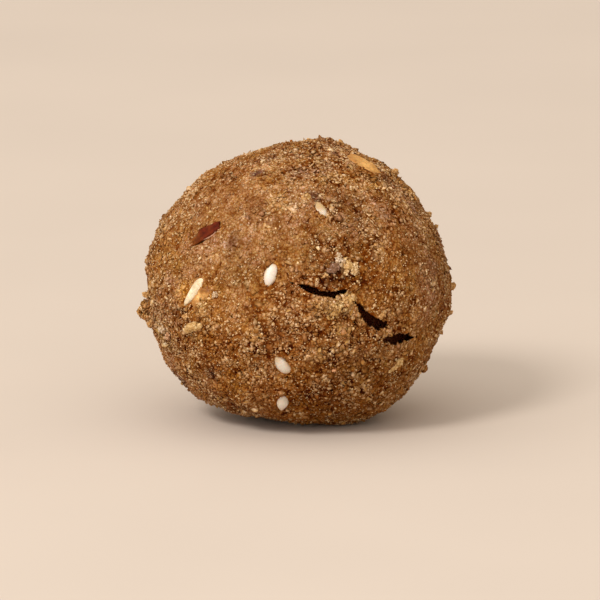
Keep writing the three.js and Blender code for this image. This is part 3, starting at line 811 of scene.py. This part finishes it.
class Nodes:
    """Short ways to add and link the shader nodes of a material or of the world."""

    def __init__(self, owner):
        owner.use_nodes = True
        self.tree = owner.node_tree
        self.shader = self.tree.nodes.get("Principled BSDF") or self.tree.nodes["Background"]

    def set(self, node, socket, value):
        """Links or sets an input, which is given by its name, or by its number after a low line."""
        target = node.inputs[int(socket[1:])] if socket[1:].isdigit() else node.inputs[socket]
        if isinstance(value, bpy.types.NodeSocket):
            self.tree.links.new(value, target)
        else:
            target.default_value = value

    def shade(self, inputs):
        """Links or sets inputs of the shader itself."""
        for socket, value in inputs.items():
            self.set(self.shader, socket, value)

    def add(self, kind, **inputs):
        node = self.tree.nodes.new(kind)
        for socket, value in inputs.items():
            self.set(node, socket, value)
        return node

    def place(self):
        return self.add("ShaderNodeTexCoord").outputs["Object"]

    def colour(self):
        node = self.add("ShaderNodeAttribute")
        node.attribute_name = "colour"
        return node.outputs["Color"]

    def noise(self, place, length, detail=2.0, roughness=0.5):
        settings = dict(Scale=1 / (length * MM), Detail=detail, Roughness=roughness)
        return self.add("ShaderNodeTexNoise", Vector=place, **settings).outputs["Fac"]

    def times(self, colour, factor):
        """A colour or a place times a factor for each channel."""
        node = self.add("ShaderNodeVectorMath", _0=colour, _1=factor)
        node.operation = "MULTIPLY"
        return node.outputs["Vector"]

    def blend(self, share, low, high):
        """A mix of two fixed colours."""
        node = self.add("ShaderNodeMix", _0=share, _6=(*low, 1), _7=(*high, 1))
        node.data_type = "RGBA"
        return node.outputs[2]

    def mapped(self, value, start, end=(0, 1)):
        """A value's place in one range, carried over to another one."""
        node = self.add("ShaderNodeMapRange", Value=value)
        for number, amount in enumerate((*start, *end)):
            node.inputs[number + 1].default_value = amount
        return node.outputs["Result"]

    def raised(self, height, strength, distance):
        """A normal that is tilted by fine bumps."""
        node = self.add("ShaderNodeBump", Height=height, Strength=strength, Distance=distance * MM)
        return node.outputs["Normal"]


def food_material(name):
    """A material that takes its colour from the piece, mottled and roughened at a fine scale."""
    roughness, specular, mottle, mottle_length, bumps, bump_length, glow = FINISHES[name]
    material = bpy.data.materials.new(name)
    nodes = Nodes(material)
    place = nodes.place()
    tone = nodes.mapped(nodes.noise(place, mottle_length), NOISE_RANGE, (1 - mottle, 1 + mottle))
    roughnesses = (roughness - ROUGHNESS_CHANGE, roughness + ROUGHNESS_CHANGE)
    nodes.shade({
        "Base Color": nodes.times(nodes.colour(), tone),
        "Roughness": nodes.mapped(nodes.noise(place, 2 * mottle_length), NOISE_RANGE, roughnesses),
        "Specular IOR Level": specular,
        "Subsurface Weight": glow,
        "Subsurface Radius": GLOW_COLOUR,
        "Subsurface Scale": GLOW_REACH * MM,
        "Normal": nodes.raised(nodes.noise(place, bump_length, BUMP_DETAIL), bumps, bump_length),
    })
    return material


def crevice_shade(nodes, place):
    """Painted shade: a tint that is dark along short thin breaks between flakes of dough, and white
    elsewhere.
    """
    warp = nodes.add("ShaderNodeTexNoise", Vector=place, Scale=1 / (CREVICE_WARP_LENGTH * MM))
    shift = nodes.times(warp.outputs["Color"], (CREVICE_WARP * MM,) * 3)
    moved = nodes.add("ShaderNodeVectorMath", _0=place, _1=shift)
    edge = nodes.add("ShaderNodeTexVoronoi", Vector=moved.outputs["Vector"], Scale=1 / (CREVICE_SPACING * MM))
    edge.feature = "DISTANCE_TO_EDGE"
    line = nodes.mapped(edge.outputs["Distance"], CREVICE_LINE, (1, 0))
    some = nodes.mapped(nodes.noise(place, CREVICE_PATCH), CREVICE_RANGE)
    share = nodes.add("ShaderNodeMath", _0=line, _1=some)
    share.operation = "MULTIPLY"
    return nodes.blend(share.outputs["Value"], (1, 1, 1), CREVICE_SHADE)


def dough_material():
    """Moist dough: finely mottled, and deep in the gaps and pale on the finest grains, partly as painted
    shade and light; some of the grains shine.
    """
    material = bpy.data.materials.new("dough")
    nodes = Nodes(material)
    place = nodes.place()
    mottle = nodes.noise(place, MOTTLE_LENGTH, MOTTLE_DETAIL, MOTTLE_ROUGHNESS)
    mottled = nodes.blend(nodes.mapped(mottle, MOTTLE_RANGE), MOTTLE_DEEP, MOTTLE_PALE)
    toned = nodes.times(nodes.colour(), mottled)
    grain = nodes.add("ShaderNodeTexVoronoi", Vector=place, Scale=1 / (FINEST_LENGTH * MM))
    dome = nodes.mapped(grain.outputs["Distance"], FINEST_DOME, (1, 0))
    # partly painted shade in the gaps and painted light on the domes
    toned = nodes.times(toned, nodes.blend(dome, FINEST_GAP_TONE_AND_SHADE, FINEST_TOP_TONE_AND_LIGHT))
    own = nodes.add("ShaderNodeSeparateColor", Color=grain.outputs["Color"])
    toned = nodes.times(toned, nodes.blend(own.outputs["Red"], FINEST_HONEY, FINEST_MAUVE))
    height = nodes.add("ShaderNodeMath", _0=dome, _1=mottle)
    nodes.shade({
        "Base Color": nodes.times(toned, crevice_shade(nodes, place)),
        "Roughness": nodes.mapped(own.outputs["Blue"], FINEST_SHINY, FINEST_ROUGHNESS),
        "Specular IOR Level": DOUGH_SPECULAR,
        "Subsurface Weight": DOUGH_GLOW,
        "Subsurface Radius": DOUGH_GLOW_COLOUR,
        "Subsurface Scale": DOUGH_GLOW_REACH * MM,
        "Normal": nodes.raised(height.outputs["Value"], DOUGH_BUMP, DOUGH_BUMP_HEIGHT),
    })
    return material


def make_dough(dough):
    """The dough itself, which takes the solid's place."""
    piece = make_piece("dough", dough.vertices, dough.faces, dough.colours, dough_material(), "dough")
    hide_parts("ladoo")


def on_dough(dough, pressed):
    """How readily grains lie at each vertex: not in the cracks, and not on what is pressed in."""
    weight = np.where(dough.inset > -GRAIN_CLEAR, 0.0, 1.0)
    for item in pressed:
        weight *= ramp(item.away(dough.vertices), item.bare, item.bare + BARE_EDGE)
    return weight * (dough.vertices[:, 2] > FOOT_CLEAR)


def grouped(dough, length, mean, swing, least, seed):
    """How readily grains that keep to groups lie at each vertex."""
    return np.clip(mean + swing * soft_noise(dough.vertices, length, seed), least, 1)


def lit_and_shaded(colours, owner, shape):
    """Colours for the vertices of grains, with painted light that makes each pale on top and painted shade
    that makes it deep and warm round its edge.
    """
    top = np.tile(shape[0][:, 2] > 0, len(colours))
    # painted light on the top vertex, painted shade on the others
    return colours[owner] * np.where(top[:, None], GRAIN_LIT_TOP, GRAIN_SHADED_EDGE)


def varied(colours, change, rng):
    """Colours of single grains: each deeper by a change below 0, or paler by one above, with its own hue."""
    deeper = colours * np.exp(np.minimum(change, 0))[:, None] ** PALER
    own = deeper * np.exp(HUES * rng.normal(size=(len(change), 3)))
    return mixed(np.clip(change, 0, 1), own, linear(PALE_GRAIN))


def make_flakes(dough, weight):
    """Flat flakes of dough that lie on it, mostly paler than it is."""
    rng = np.random.default_rng(FLAKE.seed)
    shape = flake(**FLAKE_FORM)
    places, normals, colours = scatter(FLAKE, dough, weight, rng)
    vertices, faces, owner = lay(FLAKE, shape, places, normals, rng)
    colours = varied(colours, rng.normal(*FLAKE_PALER, FLAKE.count), rng)
    make_piece("flakes", vertices, faces, lit_and_shaded(colours, owner, shape), food_material("flakes"), "dough")


def make_grains(dough, weight):
    """Grains of coarse flour, mostly where the dough crumbles."""
    rng = np.random.default_rng(GRAIN.seed)
    shape = octahedron()
    places, normals, colours = scatter(GRAIN, dough, weight, rng)
    vertices, faces, owner = lay(GRAIN, shape, places, normals, rng)
    mean, spread = GRAIN_PALER
    paler = mean + GRAIN_PATCHES * soft_noise(places, CRUMB_GROUPS["length"], CRUMB_GROUPS["seed"])
    colours = varied(colours, rng.normal(paler, spread), rng)
    make_piece("grains", vertices, faces, lit_and_shaded(colours, owner, shape), food_material("grains"), "dough")


def make_specks(dough, weight):
    """Tiny pale grains that catch the light, their paleness partly their own and partly painted glints."""
    rng = np.random.default_rng(SPECK.seed)
    places, normals, colours = scatter(SPECK, dough, weight * grouped(dough, **SPECK_GROUPS), rng)
    vertices, faces, owner = lay(SPECK, octahedron(), places, normals, rng)
    colours = varied(colours, rng.uniform(*SPECK_PALER, SPECK.count), rng)
    make_piece("specks", vertices, faces, colours[owner], food_material("specks"), "dough")


def heap_spots(rng):
    """Where the crumbs of the heaps lie: places, normals and colours, highest in the middle of each heap."""
    groups = []
    for side, right, up, spread, height, count, kind in rows(HEAPS):
        axes, point = seat(side, right, up, 0)
        flat = rng.normal(0, HEAP_SCATTER * spread, (count, 2))
        rise = height * (np.exp(-((flat / spread) ** 2).sum(axis=1)) + HEAP_JITTER * rng.random(count))
        places = point + flat @ axes[:2] + rise[:, None] * axes[2]
        bulge = np.linalg.norm(places - MIDDLE, axis=1) - np.linalg.norm(point - MIDDLE) - rise
        places = places - bulge[:, None] * unit(places - MIDDLE)
        colours = varied(linear(CRUMB_COLOURS[kind]), rng.normal(0, HEAP_TONES, count), rng)
        normals = np.repeat(axes[2:], count, axis=0)
        clear = crack_inset(places - MIDDLE) < -CRUMB_CLEAR
        groups.append((places[clear], normals[clear], colours[clear]))
    return (np.concatenate(part) for part in zip(*groups))


def make_crumbs(dough, weight):
    """Larger crumbs of dough: single ones, and those of the heaps."""
    rng = np.random.default_rng(CRUMB.seed)
    shape = flake(**CRUMB_FORM)
    clear = dough.inset < -CRUMB_CLEAR
    places, normals, colours = scatter(CRUMB, dough, weight * clear * grouped(dough, **CRUMB_GROUPS), rng)
    colours = varied(colours, rng.normal(*CRUMB_PALER, CRUMB.count), rng)
    both = zip((places, normals, colours), heap_spots(rng))
    places, normals, colours = (np.concatenate(pair) for pair in both)
    vertices, faces, owner = lay(CRUMB, shape, places, normals, rng)
    colours = lit_and_shaded(colours, owner, shape)
    make_piece("crumbs", vertices, faces, colours, food_material("crumbs"), "dough", smooth=False)


def joined(parts):
    """Several meshes, each vertices, faces and colours, as one."""
    starts = np.cumsum([0] + [len(vertices) for vertices, _, _ in parts])
    return (
        np.concatenate([vertices for vertices, _, _ in parts]),
        np.concatenate([faces + start for (_, faces, _), start in zip(parts, starts)]),
        np.concatenate([colours for _, _, colours in parts]),
    )


def make_chunks():
    """Single lumps of crumb, each pressed together from grains."""
    parts = []
    directions, faces = geodesic(CHUNK_SPLITS)
    for number, (*place, length, width, thickness, kind) in enumerate(rows(CHUNKS)):
        shape = directions * np.array([length, width, thickness]) / 2
        shape *= 1 + CHUNK_UNEVENNESS * soft_noise(shape + CHUNK_STEP * number, CHUNK_WAVES, seed=94)[:, None]
        near, own = lumps(shape + CHUNK_STEP * number, CHUNK_GRAIN, seed=90)
        stand = np.clip(near - CHUNK_GAP, 0, CHUNK_CAP) * (CHUNK_LEAST + own)
        shape += directions * (CHUNK_ROUGHNESS * (stand - CHUNK_LEVEL))[:, None]
        # partly painted light on the raised grains and painted shade between them
        tone = np.exp(CHUNK_CONTRAST * (stand - CHUNK_MIDTONE))[:, None] ** PALER
        vertices = laid(shape, place, CHUNK_RISE * thickness)
        parts.append((vertices, faces, linear(CRUMB_COLOURS[kind]) * tone))
    make_piece("chunks", *joined(parts), food_material("chunks"), "dough")


def oval(length, width, thickness, taper, bluntness=2, rings=28, sides=28):
    """A seed-like oval round the origin, narrowing to +X and blunt at -X: vertices and faces."""
    along = -np.cos(np.linspace(0, math.pi, rings + 1))
    around = np.linspace(0, 2 * math.pi, sides, endpoint=False)
    power = np.where(along < 0, bluntness, 2)
    reach = np.clip(1 - np.abs(along) ** power, 0, 1) ** (1 / power)
    reach *= 1 - taper * np.maximum(0, along) ** 2
    vertices = np.stack([
        np.repeat(along, sides) * length / 2,
        np.outer(reach, np.cos(around)).ravel() * width / 2,
        np.outer(reach, np.sin(around)).ravel() * thickness / 2,
    ], axis=1)
    faces = []
    for ring, side in itertools.product(range(rings), range(sides)):
        a, b = ring * sides + side, ring * sides + (side + 1) % sides
        faces += [(a, b + sides, b), (a, a + sides, b + sides)]
    return vertices, np.array(faces)


def seed_colours(shape, size, veil, spots):
    """A sesame seed's colours: white in the middle, darker at the rim, and veiled by dough at one end."""
    ends = shape[:, 0] / SESAME["length"] * 2
    sides = shape[:, 1] / SESAME["width"] * 2
    rim = np.clip(ends**SEED_RIM_POWER + sides**SEED_RIM_POWER, 0, 1)
    share = np.clip(SEED_RIM * rim + spots + SEED_TONE, 0, 1)
    colours = mixed(share, linear(SEED_COLOUR), linear(SEED_EDGE))
    veiled = np.sign(veil) * ends / size + VEIL_RAGGED * spots + VEIL_REACH * abs(veil)
    return mixed(VEIL_COVER * ramp(veiled, *VEIL_RANGE), colours, linear(SEED_VEIL))


def make_sesame():
    """The sesame seeds, pressed in to more than half, some with a raised tip."""
    parts = []
    for number, (*place, size, sink, tip, veil) in enumerate(rows(SESAME_SEEDS)):
        shape, faces = oval(**SESAME)
        shape *= size
        shape *= 1 + SEED_UNEVENNESS * soft_noise(shape + SEED_STEP * number, SEED_WAVES, seed=70)[:, None]
        spots = SPOT_STRENGTH * soft_noise(shape + SPOT_STEP * number, SEED_SPOTS, seed=71)
        cos, sin = math.cos(math.radians(tip)), math.sin(math.radians(tip))
        raised = shape @ np.array([(cos, 0, sin), (0, 1, 0), (-sin, 0, cos)])
        parts.append((laid(raised, place, -sink), faces, seed_colours(shape, size, veil, spots)))
    make_piece("sesame_seeds", *joined(parts), food_material("sesame"), "sesame")


def chopped(directions, kind, rng):
    """A block for a piece of nut from -1 to 1, with random flat cuts and flat faces."""
    powers = (np.abs(directions) ** kind.bluntness).sum(axis=1, keepdims=True)
    shape = directions / powers ** (1 / kind.bluntness)
    for cut in unit(rng.normal(size=(NUT_CUTS, 3)) * CUT_LEAN):
        over = np.clip(shape @ cut - kind.cut, 0, None)
        shape -= CUT_SHARE * over[:, None] * cut
    shape[:, 2] = np.sign(shape[:, 2]) * np.abs(shape[:, 2]) ** NUT_FLATNESS
    shape[:, 1] *= 1 - kind.taper * shape[:, 0]
    return shape


def make_nuts():
    """The pieces of nut: chopped chunks with flat faces, pressed in to just above the ball."""
    rng = np.random.default_rng(NUT_SEED)
    parts = []
    directions, faces = geodesic(NUT_SPLITS)
    rim = ramp(np.linalg.norm(directions[:, :2], axis=1), *NUT_RIM_RANGE)
    (coarse, coarse_height), (fine, fine_height) = NUT_BUMPS
    for number, (*place, length, width, thickness, name) in enumerate(rows(NUTS)):
        kind = NUT_KINDS[name]
        shape = chopped(directions, kind, rng) * np.array([length, width, thickness]) / 2
        rough = coarse_height * soft_noise(shape + NUT_STEP * number, coarse, seed=80)
        rough += fine_height * soft_noise(shape, fine, seed=82)
        shape += directions * kind.contrast * rough[:, None]
        patch = soft_noise(shape + MOTTLE_STEP * number, NUT_MOTTLE, seed=81)
        patch += soft_noise(shape, NUT_SPOTS, seed=83)
        tone = np.exp(kind.contrast * (NUT_TONE * patch + NUT_RIM * rim))[:, None] ** PALER
        vertices = laid(shape, place, kind.top - thickness / 2)
        parts.append((vertices, faces, linear(kind.colour) * tone))
    make_piece("nut_pieces", *joined(parts), food_material("nut"), "nut")


def skin_colours(shape, along, across):
    """An almond skin's colours: dark and streaked, paler at its tail and on part of its straight edge."""
    tail = TAIL_START + TAIL_RISE * along + TAIL_SWING * soft_noise(shape, TAIL_WAVES, seed=75)
    colours = mixed(np.clip(tail, 0, 1), linear(SKIN_COLOUR), linear(SKIN_TAIL))
    colours *= np.exp(STREAK_STRENGTH * soft_noise(shape * SKIN_STREAK, STREAK_LENGTH, seed=77))[:, None]
    reach = np.sqrt(np.clip(1 - along**2, 0, 1)) * (1 - SKIN["taper"] * np.maximum(0, along) ** 2)
    pale = (across > PALE_EDGE * reach) * ramp(np.abs(along - PALE_EDGE_PLACE), *PALE_EDGE_RANGE)
    return mixed(pale, colours, linear(SKIN_EDGE))


def make_skin():
    """The slivers of almond skin: thin, curled and ragged, with one straight edge."""
    parts = []
    for place in rows(SKIN_SLIVERS):
        shape, faces = oval(**SKIN)
        along = shape[:, 0] / SKIN["length"] * 2
        across = shape[:, 1] / SKIN["width"] * 2
        shape[:, 1] *= np.where(across < 0, 1, SKIN_STRAIGHT)
        shape[:, 2] += SKIN_CURL * np.sin(SKIN_CURL_TURN * shape[:, 0]) * across
        ragged = sum(height * soft_noise(shape, length, seed) for length, height, seed in SKIN_JAGS)
        shape[:, :2] *= 1 + ragged[:, None]
        parts.append((laid(shape, place, SKIN_LIFT), faces, skin_colours(shape, along, across)))
    make_piece("almond_skin", *joined(parts), food_material("almond_skin"), "almond_skin")


class Pressed:
    """Something pressed into the dough: where it lies, its outline, and how the dough lies round it."""

    def __init__(self, seated, length, width, bare, aside=0.0, rim=RIM_HEIGHT, bluntness=2):
        self.axes, point = seated
        self.point = point + aside * self.axes[1]
        self.halves = np.array([length, width]) / 2
        self.bare = bare  # where grains start to cover it: 1 is its edge
        self.rim = rim
        self.bluntness = bluntness

    def away(self, points):
        """How far each point is from its middle: 1 at its edge."""
        local = (points - self.point) @ self.axes.T
        flat = (np.abs(local[:, :2] / self.halves) ** self.bluntness).sum(axis=1) ** (1 / self.bluntness)
        return np.where(np.abs(local[:, 2]) < PRESS_REACH, flat, np.inf)


def pressed_in():
    """All that is pressed into the dough."""
    items = []
    for *place, size, sink, _, _ in rows(SESAME_SEEDS):
        items.append(Pressed(seat(*place), size * SESAME["length"], size * SESAME["width"], 1 - sink))
    for *place, length, width, _, name in rows(NUTS):
        kind = NUT_KINDS[name]
        sizes = NUT_SEAT * length, NUT_SEAT * width
        items.append(Pressed(seat(*place), *sizes, kind.bare, bluntness=kind.bluntness))
    width = SKIN["width"] * (1 + SKIN_STRAIGHT) / 2
    aside = -SKIN["width"] * (1 - SKIN_STRAIGHT) / 4
    for place in rows(SKIN_SLIVERS):
        items.append(Pressed(seat(*place), SKIN["length"], width, SKIN_BARE, aside, SKIN_RIM))
    return items


def make_floor():
    """A plain pale floor."""
    material = bpy.data.materials.new("floor")
    nodes = Nodes(material)
    clouds = nodes.noise(nodes.place(), FLOOR_CLOUDS)
    shade = nodes.mapped(clouds, NOISE_RANGE, (1 - FLOOR_CHANGE, 1 + FLOOR_CHANGE))
    nodes.shade({"Base Color": nodes.times(tuple(linear(FLOOR_COLOUR)), shade), "Roughness": FLOOR_ROUGHNESS})
    mesh = bpy.data.meshes.new("floor")
    corners = [(x * FLOOR_HALF, y * FLOOR_HALF, 0) for x, y in ((-1, -1), (1, -1), (1, 1), (-1, 1))]
    mesh.from_pydata(corners, [], [(0, 1, 2, 3)])
    mesh.materials.append(material)
    floor = bpy.data.objects.new("floor", mesh)
    bpy.context.collection.objects.link(floor)


def aim(thing, place, target):
    """Puts a light or camera at a place, turned to look at a target."""
    thing.location = place
    thing.rotation_euler = (Vector(target) - Vector(place)).to_track_quat("-Z", "Y").to_euler()


def add_key_light():
    """A lamp at the upper left, for the glints."""
    light = bpy.data.lights.new("key", "AREA")
    light.shape = "DISK"
    light.size = KEY_SIZE
    light.energy = KEY_POWER
    light.color = KEY_COLOUR
    lamp = bpy.data.objects.new("key", light)
    bpy.context.collection.objects.link(lamp)
    aim(lamp, KEY_PLACE, MIDDLE * MM)


def light_scene():
    """Soft light from all round that is strongest from the upper left, with the lamp there."""
    add_key_light()
    world = bpy.data.worlds.new("studio")
    nodes = Nodes(world)
    way = nodes.add("ShaderNodeTexCoord").outputs["Generated"]
    lean = nodes.add("ShaderNodeVectorMath", _0=way, _1=SKY_LEAN)
    lean.operation = "DOT_PRODUCT"
    toward = lean.outputs["Value"]
    nodes.shade({
        "Color": nodes.blend(nodes.mapped(toward, (-1, 1)), *SKY_COLOURS),
        "Strength": nodes.mapped(toward, (-1, 1), SKY_STRENGTH),
    })
    bpy.context.scene.world = world
    bpy.context.scene.view_settings.view_transform = "Standard"


def add_camera():
    """A camera with the photograph's framing: the ball a little left of and above the picture's middle."""
    right, up, toward = SIDES["front"]
    across, above = PICTURE_SHIFT
    target = MIDDLE + (right * across + up * above) / PIXELS_PER_MM
    camera = bpy.data.cameras.new("camera")
    camera.sensor_width = SENSOR
    camera.lens = SENSOR * EYE_DISTANCE / (PICTURE / PIXELS_PER_MM)
    camera.clip_end = EYE_END
    eye = bpy.data.objects.new("camera", camera)
    bpy.context.collection.objects.link(eye)
    aim(eye, (target + toward * EYE_DISTANCE) * MM, target * MM)
    bpy.context.scene.camera = eye


add_camera()
light_scene()
make_floor()
pressed = pressed_in()
dough = Dough(pressed)
make_dough(dough)
make_sesame()
make_nuts()
make_skin()
weight = on_dough(dough, pressed)
make_flakes(dough, weight)
make_grains(dough, weight)
make_specks(dough, weight)
make_crumbs(dough, weight)
make_chunks()
